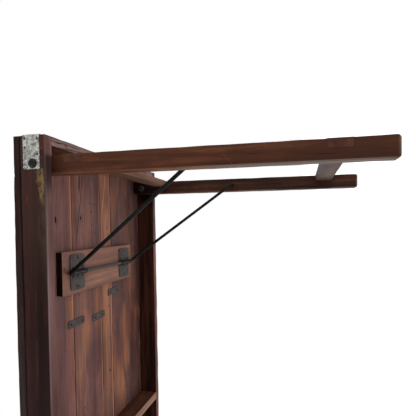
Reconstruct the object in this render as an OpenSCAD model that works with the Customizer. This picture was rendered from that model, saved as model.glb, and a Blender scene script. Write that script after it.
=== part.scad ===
// Folding trestle table: a planked top on a shallow frame, with a leg frame
// hinged in each end that folds flat into the frame, and a bent rod brace to
// hold each leg frame open.
// Frame: origin on the floor under the middle of the table, X along the
// table's length, Y across it, Z up, millimetres.
// End a is the +X end and end b the -X end; left is -Y and right is +Y.

/* [Table] */
// Length of the top
table_len = 1600; // [1590:10:2000]
// Width of the top
table_w = 600; // [560:10:760]
// Height of the top above the floor
table_h = 764; // [740:2:766]
// Thickness of the top planks
top_t = 20; // [12:1:22]

/* [Frame] */
// Depth of the rails under the top
frame_depth = 60; // [58:1:80]
// Thickness of the side rails
rail_t = 22; // [18:1:26]
// Thickness of the end rails
end_rail_t = 20; // [16:1:22]
// Thickness of the middle rail
mid_rail_t = 24; // [18:1:26]

/* [Legs] */
// Width of a leg, seen from the table's side
leg_w = 42; // [36:1:42]
// Thickness of a leg
leg_t = 30; // [24:1:34]
// Gap between a side rail and a leg, filled by a washer
leg_gap = 2; // [2:0.5:4]
// Distance of the pivots from the end of the table
pivot_in = 59; // [56:1:62]
// Depth of the pivots below the top planks
pivot_drop = 31; // [28:1:34]
// Thickness of the stretchers
stretcher_t = 18; // [14:1:18]
// Width of the upper stretchers
upper_stretcher_w = 44; // [36:1:50]
// Width of the lower stretchers
lower_stretcher_w = 48; // [40:1:56]
// Radius of the corners at a leg's foot
foot_r = 7; // [3:1:10]

/* [Brace] */
// Diameter of the brace rod
rod_d = 9; // [7:0.5:9]
// Distance of the rod's bearing axis from the end of the table
brace_in = 305; // [290:1:320]
// Length along a leg from its pivot to the hole for the rod
hook_reach = 321; // [300:1:340]
// Half the length of the rod's straight bar
bar_half = 166; // [163:1:172]
// Radius of the rod's bends, along the middle of the rod
bend_r = 6; // [5:0.5:6]
// Thickness of the brace board
board_t = 16; // [14:1:18]
// Length of the brace board across the table
board_len = 372; // [350:1:400]
// Width of the brace board
board_w = 108; // [100:1:130]

/* [Hardware] */
// Diameter of the pivot bolts
bolt_d = 8; // [6:1:8]
// Width of a strap bearing, across the table
bearing_w = 62; // [50:1:64]
// Length of a strap bearing, along the table
bearing_len = 90; // [80:1:96]
// Thickness of the strap bearings and mending plates
plate_t = 2; // [1.5:0.5:2]
// Width of the corner straps
strap_w = 38.5; // [36:0.5:42]
// Thickness of the corner straps
strap_t = 1.2; // [0.8:0.1:1.6]

/* [Hidden] */
$fn = 48;
eps = 0.01;

// Ends and sides, as signs for mirroring
END_A = 1;
END_B = -1;
LEFT = -1;
RIGHT = 1;

// Levels
under_z = table_h - top_t;
frame_z = under_z - frame_depth;
pivot_z = under_z - pivot_drop;
// Places across the table
half_w = table_w / 2;
half_len = table_len / 2;
rail_in_y = half_w - rail_t;
leg_out_y = rail_in_y - leg_gap;
leg_in_y = leg_out_y - leg_t;
pivot_x = half_len - pivot_in;
// Plank seams, from the left edge to the right one, and the gap in each
seams = [-half_w, -122, 18, 79, half_w];
seam_gap = 0.8;
// Stretchers: lower face of each above the floor
upper_stretcher_z = under_z - 84 - upper_stretcher_w;
lower_stretcher_z = 78;
// A leg's head stops this far under the planks
head_gap = 1;
head_r = pivot_drop - head_gap;

// Brace
rod_r = rod_d / 2;
rod_clear = 0.08;
board_x = half_len - brace_in;
board_z = under_z - board_t;
bar_z = board_z - rod_r - 0.5;
hook_z = pivot_z - hook_reach;
// A bend is a hair thicker than the rod, and the straight runs lap into it
bend_swell = 0.03;
bend_lap = 0.3;
// The hook ends stop short of the legs, so that the brace can swing
hook_gap = 0.6;
// Run of the arms in their own plane, and the angle of that plane
arm_run = norm([pivot_x - board_x, bar_z - hook_z]);
arm_angle = atan2(bar_z - hook_z, pivot_x - board_x);
// The arms end this far inside the legs, where their hooks turn out
arm_in = 17;
// The boards sit a little to the left of the table's middle
board_shift = -4.5;
bearing_y = 128;
bearing_screw_x = 11;
bearing_screw_y = 21;
bearing_end_screw_x = bearing_len / 2 - 9;

// Bolts, nails and screws
bolt_r = bolt_d / 2;
bolt_clear = 0.08;
// Side play of a leg against its washers
leg_play = 0.3;
bolt_head_r = 10;
bolt_head_h = 5;
bolt_dome_r = 13;
neck_w = 8;
neck_h = 4;
washer_r = 10;
washer_t = 1.4;
nut_flats = 13;
nut_h = 6.5;
nail_r = 1.4;
nail_head_r = 3.2;
nail_head_t = 1.2;
nail_sunk = 0.3;
screw_r = 1.5;
screw_head_r = 3;
screw_head_t = 1.2;
board_screw_proud = 0.1;
strap_len = 71;
strap_return = 60;
strap_up = 8.5;
rail_nail_step = 190;
mending_w = 19;
// Mending plates: middle x, middle y and length across the seam
mending = [[361, -113, 72], [352, -2, 64], [409, 87, 66]];

// Copies a piece drawn for end a, right side, to another corner
module corner(end, side) {
    mirror([end == END_B ? 1 : 0, 0, 0])
        mirror([0, side == LEFT ? 1 : 0, 0])
            children();
}

module at_end(end) {
    mirror([end == END_B ? 1 : 0, 0, 0]) children();
}

module both_sides() {
    children();
    mirror([0, 1, 0]) children();
}

// A box from one corner to the opposite one
module span(low, high) {
    translate(low) cube(high - low);
}

// A cylinder along +Y from y0 to y1
module rod_y(r, y0, y1) {
    translate([0, y0, 0]) rotate([-90, 0, 0]) cylinder(r = r, h = y1 - y0);
}

// A round-headed nail or screw that points up, with the head's underside at z 0
module pin_up(r, len, head_r, head_t) {
    translate([0, 0, -head_t]) cylinder(r = head_r, h = head_t);
    translate([0, 0, -head_t / 2]) cylinder(r = r, h = len + head_t / 2);
}

// ---- top ----

function plank_middle(i) = (seams[i] + seams[i + 1]) / 2;
function plank_width(i) = seams[i + 1] - seams[i];
// Nails over the cross rails: two for each plank
function cross_nail_y(i, s) = plank_middle(i) + s * plank_width(i) * 0.27;

module plank_nail_places(i) {
    for (x = [-half_len + end_rail_t / 2, 0, half_len - end_rail_t / 2])
        for (s = [-1, 1])
            translate([x, cross_nail_y(i, s), table_h]) children();
    if (i == 0 || i == len(seams) - 2)
        for (n = [-4 : 4])
            if (n != 0)
                translate([n * rail_nail_step, (i == 0 ? -1 : 1) * (half_w - rail_t / 2), table_h])
                    children();
}

module top_plank(i) {
    color("saddlebrown")
        difference() {
            span([-half_len, seams[i] + (i == 0 ? 0 : seam_gap / 2), under_z],
                 [half_len, seams[i + 1] - (i == len(seams) - 2 ? 0 : seam_gap / 2), table_h]);
            plank_nail_places(i)
                translate([0, 0, -nail_head_t - nail_sunk])
                    cylinder(r = nail_head_r + 0.1, h = nail_head_t + nail_sunk + 1);
        }
}

module top_nails() {
    color("dimgray")
        for (i = [0 : len(seams) - 2])
            plank_nail_places(i)
                translate([0, 0, -nail_head_t - nail_sunk])
                    rotate([180, 0, 0]) pin_up(nail_r, 34, nail_head_r, nail_head_t);
}

// ---- frame ----

module side_rail(side) {
    color("saddlebrown")
        corner(END_A, side)
            difference() {
                span([-half_len, rail_in_y, frame_z], [half_len, half_w, under_z]);
                for (end = [END_A, END_B])
                    translate([end * pivot_x, 0, pivot_z]) {
                        rod_y(bolt_r + bolt_clear, rail_in_y - 1, half_w + 1);
                        translate([-neck_w / 2, half_w - neck_h, -neck_w / 2])
                            cube([neck_w, neck_h + 1, neck_w]);
                    }
            }
}

module end_rail(end) {
    color("sienna")
        at_end(end)
            span([half_len - end_rail_t, -rail_in_y, frame_z], [half_len, rail_in_y, under_z]);
}

module middle_rail() {
    color("sienna")
        span([-mid_rail_t / 2, -rail_in_y, frame_z], [mid_rail_t / 2, rail_in_y, under_z]);
}

// Nails through the side rails into the ends of the cross rails
module frame_nails() {
    color("dimgray")
        both_sides()
            for (p = [[5, frame_z + 15], [-5, under_z - 15],
                      [half_len - end_rail_t / 2, frame_z + 7],
                      [-half_len + end_rail_t / 2, frame_z + 7]])
                translate([p[0], half_w, p[1]])
                    rotate([90, 0, 0]) pin_up(nail_r, 45, nail_head_r, nail_head_t / 2);
}

// ---- brace boards and bearings ----

module brace_board(end) {
    color("peru")
        at_end(end)
            span([board_x - board_w / 2, -board_len / 2 + board_shift, board_z],
                 [board_x + board_w / 2, board_len / 2 + board_shift, under_z]);
}

module board_screws(end) {
    color("dimgray")
        at_end(end)
            for (sx = [-1, 1], sy = [-1, 1])
                translate([board_x + sx * (board_w / 2 - 12),
                           board_shift + sy * (board_len / 2 - 14),
                           board_z + screw_head_t - board_screw_proud])
                    pin_up(screw_r, 25, screw_head_r, screw_head_t);
}

module bearing_screw_places() {
    for (sx = [-1, 1]) {
        translate([sx * bearing_end_screw_x, 0, 0]) children();
        for (sy = [-1, 0, 1])
            translate([sx * bearing_screw_x, sy * bearing_screw_y, 0]) children();
    }
}

// A flat strap with a half-round channel pressed across it for the rod
module strap_bearing(end, side) {
    color("dimgray")
        corner(end, side)
            translate([board_x, bearing_y, 0])
                difference() {
                    union() {
                        span([-bearing_len / 2, -bearing_w / 2, board_z - plate_t],
                             [bearing_len / 2, bearing_w / 2, board_z]);
                        translate([0, 0, bar_z])
                            rod_y(rod_r + rod_clear + plate_t, -bearing_w / 2, bearing_w / 2);
                        span([-rod_r - rod_clear - plate_t, -bearing_w / 2, bar_z],
                             [rod_r + rod_clear + plate_t, bearing_w / 2, board_z]);
                    }
                    translate([0, 0, bar_z])
                        rod_y(rod_r + rod_clear, -bearing_w / 2 - 1, bearing_w / 2 + 1);
                    span([-rod_r - rod_clear, -bearing_w / 2 - 1, bar_z],
                         [rod_r + rod_clear, bearing_w / 2 + 1, board_z + 4]);
                    span([-rod_r - 6, -bearing_w / 2 - 1, board_z],
                         [rod_r + 6, bearing_w / 2 + 1, board_z + 6]);
                    bearing_screw_places()
                        translate([0, 0, board_z - plate_t - 1])
                            cylinder(r = screw_r + 0.1, h = plate_t + 2);
                }
}

module bearing_screws(end) {
    color("gray")
        at_end(end)
            both_sides()
                translate([board_x, bearing_y, board_z - plate_t])
                    bearing_screw_places()
                        pin_up(screw_r, 14, screw_head_r, screw_head_t);
}

// ---- mending plates across the plank seams ----

module mending_screw_places(p) {
    for (s = [-1, 1])
        translate([p[0], p[1] + s * (p[2] / 2 - 12), under_z - plate_t]) children();
}

module mending_plate(i) {
    p = mending[i];
    color("dimgray")
        difference() {
            span([p[0] - mending_w / 2, p[1] - p[2] / 2, under_z - plate_t],
                 [p[0] + mending_w / 2, p[1] + p[2] / 2, under_z]);
            mending_screw_places(p)
                translate([0, 0, -1]) cylinder(r = screw_r + 0.1, h = plate_t + 2);
        }
}

module mending_screws() {
    color("gray")
        for (p = mending)
            mending_screw_places(p) pin_up(screw_r, 12, screw_head_r, screw_head_t);
}

// ---- corner straps ----

module strap_nail_places() {
    for (p = [[4.5, 7], [4.5, 26], [33.5, 8.5], [34, 40.5]])
        translate([half_len - p[1], half_w + strap_t, under_z - strap_up - p[0]])
            rotate([90, 0, 0]) children();
    for (p = [[5, 36], [33, 40], [19, 51]])
        translate([half_len + strap_t, half_w - p[1], under_z - strap_up - p[0]])
            rotate([0, -90, 0]) children();
}

// Sheet-steel strap bent round the corner of the frame
module corner_strap(end, side) {
    low = under_z - strap_up - strap_w;
    high = under_z - strap_up;
    color("silver")
        corner(end, side)
            difference() {
                span([half_len - strap_len, half_w - strap_return, low],
                     [half_len + strap_t, half_w + strap_t, high]);
                span([half_len - strap_len - 1, half_w - strap_return - 1, low - 1],
                     [half_len, half_w, high + 1]);
                translate([pivot_x - neck_w / 2 - 0.2, half_w - 1, pivot_z - neck_w / 2 - 0.2])
                    cube([neck_w + 0.4, strap_t + 2, neck_w + 0.4]);
                strap_nail_places()
                    translate([0, 0, -2]) cylinder(r = nail_r + 0.1, h = strap_t + 3);
            }
}

module strap_nails() {
    color("dimgray")
        for (end = [END_A, END_B], side = [LEFT, RIGHT])
            corner(end, side)
                strap_nail_places() pin_up(nail_r, 17, 2.4, 0.8);
}

// ---- pivots ----

module pivot_bolt(end, side) {
    head_y = half_w + strap_t;
    color("dimgray")
        corner(end, side)
            translate([pivot_x, 0, pivot_z]) {
                rod_y(bolt_r, leg_in_y - 11, head_y);
                translate([-neck_w / 2, half_w - neck_h, -neck_w / 2])
                    cube([neck_w, neck_h + strap_t, neck_w]);
                translate([0, head_y, 0])
                    rotate([-90, 0, 0])
                        intersection() {
                            translate([0, 0, bolt_head_h - bolt_dome_r]) sphere(r = bolt_dome_r);
                            cylinder(r = bolt_head_r, h = bolt_head_h);
                        }
            }
}

module washer(y0) {
    translate([pivot_x, 0, pivot_z])
        difference() {
            rod_y(washer_r, y0, y0 + washer_t);
            rod_y(bolt_r + bolt_clear, y0 - 1, y0 + washer_t + 1);
        }
}

module pivot_washers(end) {
    color("gray")
        at_end(end)
            both_sides() {
                washer(leg_out_y + (leg_gap - washer_t) / 2);
                washer(leg_in_y - leg_play - washer_t);
            }
}

module pivot_nuts(end) {
    nut_y = leg_in_y - leg_play - washer_t;
    color("dimgray")
        at_end(end)
            both_sides()
                translate([pivot_x, 0, pivot_z])
                    difference() {
                        translate([0, nut_y, 0])
                            rotate([90, 0, 0])
                                cylinder(r = nut_flats / 2 / cos(30), h = nut_h, $fn = 6);
                        rod_y(bolt_r, nut_y - nut_h - 1, nut_y + 1);
                    }
}

// ---- leg frames ----

// Outline of a leg seen from the side, with the table's end at +X
module leg_outline() {
    foot_z = -pivot_z;
    difference() {
        union() {
            // The head's inner corner is round, so that it clears the planks
            intersection() {
                translate([-leg_w / 2, 0]) square([leg_w, head_r]);
                union() {
                    circle(r = head_r, $fn = 96);
                    square([leg_w / 2, head_r]);
                }
            }
            translate([-leg_w / 2, foot_z + foot_r]) square([leg_w, -foot_z - foot_r + eps]);
            for (s = [-1, 1])
                translate([s * (leg_w / 2 - foot_r), foot_z + foot_r]) circle(r = foot_r);
            translate([-leg_w / 2 + foot_r, foot_z]) square([leg_w - 2 * foot_r, 2 * foot_r]);
        }
        // Notches for the stretchers, in the edge that faces the table's end
        translate([leg_w / 2 - stretcher_t, upper_stretcher_z - pivot_z])
            square([stretcher_t + 1, upper_stretcher_w]);
        translate([leg_w / 2 - stretcher_t, lower_stretcher_z - pivot_z])
            square([stretcher_t + 1, lower_stretcher_w]);
    }
}

module leg(end, side) {
    color("sienna")
        corner(end, side)
            translate([pivot_x, 0, pivot_z])
                difference() {
                    translate([0, leg_out_y, 0])
                        rotate([90, 0, 0]) linear_extrude(leg_t) leg_outline();
                    rod_y(bolt_r + bolt_clear, leg_in_y - 1, leg_out_y + 1);
                    translate([0, 0, -hook_reach])
                        rod_y(rod_r + 0.3, leg_in_y - 1, leg_in_y + 18);
                }
}

module stretcher(end, z, width) {
    color("peru")
        at_end(end)
            span([pivot_x + leg_w / 2 - stretcher_t, -leg_out_y, z],
                 [pivot_x + leg_w / 2, leg_out_y, z + width]);
}

module stretcher_nails(end) {
    color("dimgray")
        at_end(end)
            both_sides()
                for (zw = [[upper_stretcher_z, upper_stretcher_w],
                           [lower_stretcher_z, lower_stretcher_w]], s = [0.28, 0.72])
                    translate([pivot_x + leg_w / 2, (leg_in_y + leg_out_y) / 2, zw[0] + s * zw[1]])
                        rotate([0, -90, 0]) pin_up(nail_r, 32, nail_head_r, nail_head_t / 2);
}

// ---- brace rods ----

// Round bar along a flat path, with a bend of mean radius r at each inner point
module bent_bar(path, r) {
    n = len(path);
    function turn(i) =
        let (a = path[i] - path[i - 1], b = path[i + 1] - path[i])
        atan2(a[0] * b[1] - a[1] * b[0], a * b);
    function setback(i) = i == 0 || i == n - 1 ? 0 : r * tan(abs(turn(i)) / 2);
    for (i = [0 : n - 2]) {
        d = path[i + 1] - path[i];
        u = d / norm(d);
        start = path[i] + u * (setback(i) - (i == 0 ? 0 : bend_lap));
        from_bend = i == 0 ? 0 : bend_lap;
        to_bend = i == n - 2 ? 0 : bend_lap;
        run = norm(d) - setback(i) - setback(i + 1) + from_bend + to_bend;
        translate([start[0], start[1], 0])
            rotate([0, 0, atan2(u[1], u[0])])
                rotate([0, 90, 0]) cylinder(r = rod_r, h = run);
    }
    for (i = [1 : n - 2]) {
        d = path[i] - path[i - 1];
        u = d / norm(d);
        s = sign(turn(i));
        tangent = path[i] - u * setback(i);
        centre = tangent + s * r * [-u[1], u[0]];
        from = atan2(tangent[1] - centre[1], tangent[0] - centre[0]);
        translate([centre[0], centre[1], 0])
            rotate([0, 0, s > 0 ? from : from - abs(turn(i))])
                rotate_extrude(angle = abs(turn(i))) translate([r, 0]) circle(r = rod_r + bend_swell);
    }
}

// The rod's plane holds the bar, along Y, and the arms; here it is drawn flat
// with the bar on the Y axis, then turned about the bar to meet the legs
module brace_rod(end) {
    hook_y = leg_in_y - hook_gap;
    arm_y = leg_in_y - arm_in;
    path = [[arm_run, -hook_y], [arm_run, -arm_y], [0, -bar_half],
            [0, bar_half], [arm_run, arm_y], [arm_run, hook_y]];
    color("dimgray")
        at_end(end)
            translate([board_x, 0, bar_z])
                rotate([0, arm_angle, 0])
                    bent_bar(path, bend_r);
}

top_plank(0);  // top_plank_1
top_plank(1);  // top_plank_2
top_plank(2);  // top_plank_3
top_plank(3);  // top_plank_4
top_nails();
side_rail(LEFT);  // side_rail_left
side_rail(RIGHT);  // side_rail_right
end_rail(END_A);  // end_rail_a
end_rail(END_B);  // end_rail_b
middle_rail();
frame_nails();
brace_board(END_A);  // brace_board_a
brace_board(END_B);  // brace_board_b
board_screws(END_A);  // board_screws_a
board_screws(END_B);  // board_screws_b
strap_bearing(END_A, LEFT);  // strap_bearing_a_left
strap_bearing(END_A, RIGHT);  // strap_bearing_a_right
strap_bearing(END_B, LEFT);  // strap_bearing_b_left
strap_bearing(END_B, RIGHT);  // strap_bearing_b_right
bearing_screws(END_A);  // bearing_screws_a
bearing_screws(END_B);  // bearing_screws_b
mending_plate(0);  // mending_plate_1
mending_plate(1);  // mending_plate_2
mending_plate(2);  // mending_plate_3
mending_screws();
corner_strap(END_A, LEFT);  // corner_strap_a_left
corner_strap(END_A, RIGHT);  // corner_strap_a_right
corner_strap(END_B, LEFT);  // corner_strap_b_left
corner_strap(END_B, RIGHT);  // corner_strap_b_right
strap_nails();
pivot_bolt(END_A, LEFT);  // pivot_bolt_a_left
pivot_bolt(END_A, RIGHT);  // pivot_bolt_a_right
pivot_bolt(END_B, LEFT);  // pivot_bolt_b_left
pivot_bolt(END_B, RIGHT);  // pivot_bolt_b_right
pivot_washers(END_A);  // pivot_washers_a
pivot_washers(END_B);  // pivot_washers_b
pivot_nuts(END_A);  // pivot_nuts_a
pivot_nuts(END_B);  // pivot_nuts_b
leg(END_A, LEFT);  // leg_a_left
leg(END_A, RIGHT);  // leg_a_right
leg(END_B, LEFT);  // leg_b_left
leg(END_B, RIGHT);  // leg_b_right
stretcher(END_A, upper_stretcher_z, upper_stretcher_w);  // upper_stretcher_a
stretcher(END_B, upper_stretcher_z, upper_stretcher_w);  // upper_stretcher_b
stretcher(END_A, lower_stretcher_z, lower_stretcher_w);  // lower_stretcher_a
stretcher(END_B, lower_stretcher_z, lower_stretcher_w);  // lower_stretcher_b
stretcher_nails(END_A);  // stretcher_nails_a
stretcher_nails(END_B);  // stretcher_nails_b
brace_rod(END_A);  // brace_rod_a
brace_rod(END_B);  // brace_rod_b
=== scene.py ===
import math
import random
from functools import partial

import bmesh
import bpy
from mathutils import Matrix, Vector, noise


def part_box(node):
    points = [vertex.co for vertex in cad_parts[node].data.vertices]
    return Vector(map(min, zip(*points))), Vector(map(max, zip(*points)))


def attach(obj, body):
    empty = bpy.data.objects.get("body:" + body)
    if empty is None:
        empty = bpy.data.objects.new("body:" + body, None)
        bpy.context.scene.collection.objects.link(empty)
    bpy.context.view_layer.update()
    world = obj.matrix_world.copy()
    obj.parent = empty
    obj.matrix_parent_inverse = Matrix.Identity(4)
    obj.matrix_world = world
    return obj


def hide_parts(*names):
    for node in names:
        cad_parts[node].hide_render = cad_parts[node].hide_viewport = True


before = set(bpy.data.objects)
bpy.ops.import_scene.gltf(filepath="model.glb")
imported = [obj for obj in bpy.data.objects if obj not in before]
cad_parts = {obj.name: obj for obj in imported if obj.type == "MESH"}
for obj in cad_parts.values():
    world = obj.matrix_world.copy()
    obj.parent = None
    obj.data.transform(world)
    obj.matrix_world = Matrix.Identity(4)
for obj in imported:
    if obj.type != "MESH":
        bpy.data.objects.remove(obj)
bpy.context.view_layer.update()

# --------------------
# The room: a wide pale floor, an even white surround and soft lamps.
# The camera lies on its side under the table's +X end, as the table is
# looked at when it stands on that end.
# --------------------
CAMERA_AT = (0.6056, -0.9858, 0.1732)
CAMERA_TURN = (-178.088, 77.719, 93.592)
CAMERA_SHIFT = (-0.0246, 0.0692)
SENSOR = 36.0
LENS = 32.63
FLOOR_HALF = 30
FLOOR_DROP = 0.0005
scene = bpy.context.scene
scene.view_settings.view_transform = "Standard"

camera = bpy.data.objects.new("camera", bpy.data.cameras.new("camera"))
camera.data.sensor_width = SENSOR
camera.data.lens = LENS
camera.data.shift_x, camera.data.shift_y = CAMERA_SHIFT
camera.data.clip_start = 0.01
camera.location = CAMERA_AT
camera.rotation_euler = [math.radians(a) for a in CAMERA_TURN]
scene.collection.objects.link(camera)
scene.camera = camera

surround = bpy.data.worlds.new("surround")
surround.use_nodes = True
surround.node_tree.nodes["Background"].inputs["Color"].default_value = (1, 1, 1, 1)
surround.node_tree.nodes["Background"].inputs["Strength"].default_value = 1.0
scene.world = surround

floor_mesh = bmesh.new()
bmesh.ops.create_grid(floor_mesh, x_segments=1, y_segments=1, size=FLOOR_HALF)
bmesh.ops.translate(floor_mesh, vec=(0, 0, -FLOOR_DROP), verts=floor_mesh.verts)
floor_data = bpy.data.meshes.new("floor")
floor_mesh.to_mesh(floor_data)
floor_mesh.free()
floor = bpy.data.objects.new("floor", floor_data)
scene.collection.objects.link(floor)
floor_paint = bpy.data.materials.new("floor_paint")
floor_paint.use_nodes = True
shader = floor_paint.node_tree.nodes["Principled BSDF"]
shader.inputs["Base Color"].default_value = (0.5, 0.5, 0.5, 1)
shader.inputs["Roughness"].default_value = 0.9
shader.inputs["Specular IOR Level"].default_value = 0.1
shader.inputs["Emission Color"].default_value = (1, 1, 1, 1)
shader.inputs["Emission Strength"].default_value = 0.8
floor_data.materials.append(floor_paint)


def lamp(name, at, target, size, power):
    """A round soft lamp that is aimed at a point."""
    light = bpy.data.lights.new(name, "AREA")
    light.shape = "DISK"
    light.size = size
    light.energy = power
    thing = bpy.data.objects.new(name, light)
    thing.location = at
    thing.rotation_euler = (Vector(target) - Vector(at)).to_track_quat("-Z", "Y").to_euler()
    scene.collection.objects.link(thing)


lamp("key_lamp", at=(-1.6, -2.4, 3.0), target=(0, 0, 0.7), size=2.2, power=60)
lamp("fill_lamp", at=(2.6, -1.4, 0.9), target=(0.4, 0, 0.6), size=1.6, power=18)


# --------------------
# The top: four hardwood planks, sawn and planed, laid edge to edge and nailed
# down on the rails. Dry joints have opened between them, and their outer
# arrises are worn round. The underside has old nail holes and a long split.
# --------------------
mm = 0.001
ALONG_X, ALONG_Y, ALONG_Z = 0, 1, 2


class Wire:
    """One socket of a material. Arithmetic on wires adds Math nodes."""

    def __init__(self, tree, socket=None):
        self.tree, self.socket = tree, socket

    def node(self, kind, settings=None, sockets=None, out=0):
        """Adds a node, with its settings first and then its sockets' values or links."""
        made = self.tree.nodes.new("ShaderNode" + kind)
        for key, value in (settings or {}).items():
            if key == "stops":
                ramp = made.color_ramp
                while len(ramp.elements) < len(value):
                    ramp.elements.new(0.5)
                for stop, (at, colour) in zip(ramp.elements, value):
                    stop.position = at
                    stop.color = (*colour, 1)
            else:
                setattr(made, key, value)
        for key, value in (sockets or {}).items():
            if isinstance(value, Wire):
                self.tree.links.new(value.socket, made.inputs[key])
            else:
                made.inputs[key].default_value = value
        return Wire(self.tree, made.outputs[out])

    def maths(self, operation, *values):
        return self.node("Math", {"operation": operation}, dict(enumerate(values)))

    def __add__(self, other):
        return self.maths("ADD", self, other)

    def __sub__(self, other):
        return self.maths("SUBTRACT", self, other)

    def __mul__(self, other):
        return self.maths("MULTIPLY", self, other)

    def __rsub__(self, other):
        return self.maths("SUBTRACT", other, self)

    __radd__ = __add__
    __rmul__ = __mul__


def rise(value, low, high):
    """0 below low, 1 above high, and smooth between; falls if low is above high."""
    return value.node("MapRange", {"interpolation_type": "SMOOTHSTEP"},
                      {"Value": value, "From Min": low, "From Max": high})


def blend_colour(factor, first, second, how="MIX"):
    """first where factor is 0 and second where it is 1."""
    wire = next(v for v in (factor, first, second) if isinstance(v, Wire))
    pair = [v if isinstance(v, Wire) else (*v, 1) for v in (first, second)]
    return wire.node("Mix", {"data_type": "RGBA", "blend_type": how, "clamp_factor": True},
                     {0: factor, 6: pair[0], 7: pair[1]}, 2)


def blend_value(factor, first, second):
    """As blend_colour, for single numbers."""
    return first + factor * (second - first)


def noise_at(place, scale, detail=3, roughness=0.55, distortion=0.0):
    """Cloudy values round 0.5, with scale features to a metre or so."""
    return place.node("TexNoise", {}, {"Vector": place, "Scale": scale, "Detail": detail,
                                       "Roughness": roughness, "Distortion": distortion})


def stretched(place, amounts, shift=(0, 0, 0)):
    """The same place squeezed along each axis, so that a pattern on it is drawn out."""
    return place.node("Mapping", {}, {"Vector": place, "Location": shift, "Scale": amounts})


def spots(x, y, places, soft=1.3):
    """1 inside any of the round spots (x, y, radius, stretch along x), in millimetres."""
    mask = 0
    for at_x, at_y, radius, longer in places:
        dx = (x - at_x * mm) * (1 / longer)
        dy = y - at_y * mm
        square = dx * dx + dy * dy
        gap = square.maths("SQRT", square)
        mask = mask + rise(gap, (radius + soft * 0.7) * mm, (radius - soft * 0.3) * mm)
    return mask


def near_line(offset, half_width, soft):
    """1 where the offset from a line is small."""
    return rise(offset.maths("ABSOLUTE", offset), (half_width + soft) * mm, half_width * mm)


def stretch_of(value, start, full_from, full_to, end):
    """1 between full_from and full_to, and smoothly 0 outside start and end."""
    return rise(value, start, full_from) * rise(value, end, full_to)


def tinted(factor, colour, tint):
    """The colour multiplied by a tint, as far as factor says."""
    return blend_colour(factor, colour, tint, "MULTIPLY")


def axes(place):
    """The x, y and z of a place."""
    return [place.node("SeparateXYZ", {}, {0: place}, i) for i in range(3)]


def finish_material(name, painter):
    """A new material. painter gets the place on the piece as a wire, and returns colour,
    roughness, metallic, bump height, bump depth and gloss."""
    material = bpy.data.materials.new(name)
    material.use_nodes = True
    tree = material.node_tree
    principled = tree.nodes["Principled BSDF"]
    wire = Wire(tree)
    place = wire.node("TexCoord", out="Object")
    colour, roughness, metallic, height, depth, gloss = painter(place)
    bump = place.node("Bump", {}, {"Strength": 1.0, "Distance": depth, "Height": height})
    finish = {"Base Color": colour, "Roughness": roughness, "Metallic": metallic, "Normal": bump}
    for key, value in finish.items():
        if isinstance(value, Wire):
            tree.links.new(value.socket, principled.inputs[key])
        else:
            principled.inputs[key].default_value = value
    principled.inputs["Specular IOR Level"].default_value = gloss
    return material


GRAIN_SQUEEZE = 0.055
WOOD_RELIEF = 0.5 * mm


def wood(name, along, tones, warm, shift=(0, 0, 0), rough=0.5, gloss=0.12, warmth=0.5,
         extra=None, contrast=1.0, streaks=1.0, end_grain=False):
    """Stained wood with its grain along an axis.

    tones are its dark, middle and light colours, and warm the colour of its glowing streaks.
    extra adds what only one piece has: from place, colour, roughness and height to the last three."""
    dark, middle, light = tones

    def painter(place):
        amounts = [1.0, 1.0, 1.0]
        amounts[along] = 1.0 if end_grain else GRAIN_SQUEEZE
        grain_place = stretched(place, amounts, shift)
        figure = noise_at(grain_place, 15, 3, 0.5, 0.7)
        lines = noise_at(grain_place, 95, 4, 0.62, 0.15)
        fibre = noise_at(grain_place, 420, 2, 0.6)
        cloud = noise_at(stretched(place, [1.0, 1.0, 1.0], shift), 6.5, 4, 0.6)
        spread = 0.2 / contrast
        stops = [(0.5 - spread, dark), (0.5, middle), (0.5 + spread, light)]
        colour = figure.node("ValToRGB", {"stops": stops}, {0: figure})
        glow = rise(lines + figure * 0.35 + cloud * 0.35, 0.83, 1.03) * warmth
        colour = blend_colour(glow, colour, warm)
        soot = rise(cloud, 0.56, 0.36) * (0.55 * contrast)
        colour = blend_colour(soot, colour, dark)
        pores = rise(fibre, 0.55, 0.74) * 0.4 + rise(lines, 0.45, 0.3) * 0.45
        colour = blend_colour(pores * streaks, colour, [c * 0.35 for c in dark])
        height = lines * 0.6 + fibre * 0.4
        roughness = lines * 0.2 + cloud * 0.15 + (rough - 0.17)
        if extra:
            colour, roughness, height = extra(place, colour, roughness, height)
        return colour, roughness, 0.0, height, WOOD_RELIEF, gloss

    return finish_material(name, painter)


def show(name, bm, materials, body, slot, *nodes):
    """Makes a piece of the table from a bmesh that is already in its place."""
    data = bpy.data.meshes.new(name)
    bm.to_mesh(data)
    bm.free()
    for material in materials:
        data.materials.append(material)
    piece = bpy.data.objects.new(name, data)
    scene.collection.objects.link(piece)
    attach(piece, body)
    if nodes:
        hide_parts(*nodes)


def cut_through(bm, axis, at):
    """Adds an edge loop all round a piece, square to an axis and at a place along it."""
    point, normal = [0, 0, 0], [0, 0, 0]
    point[axis], normal[axis] = at, 1
    bmesh.ops.bisect_plane(bm, geom=bm.verts[:] + bm.edges[:] + bm.faces[:], dist=1e-7,
                           plane_co=point, plane_no=normal)


def rings(bm, along, low, high, step):
    """Cuts across a piece, so that wear can vary along it."""
    count = max(2, round((high - low) / step))
    for i in range(1, count):
        cut_through(bm, along, low + (high - low) * i / count)


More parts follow.
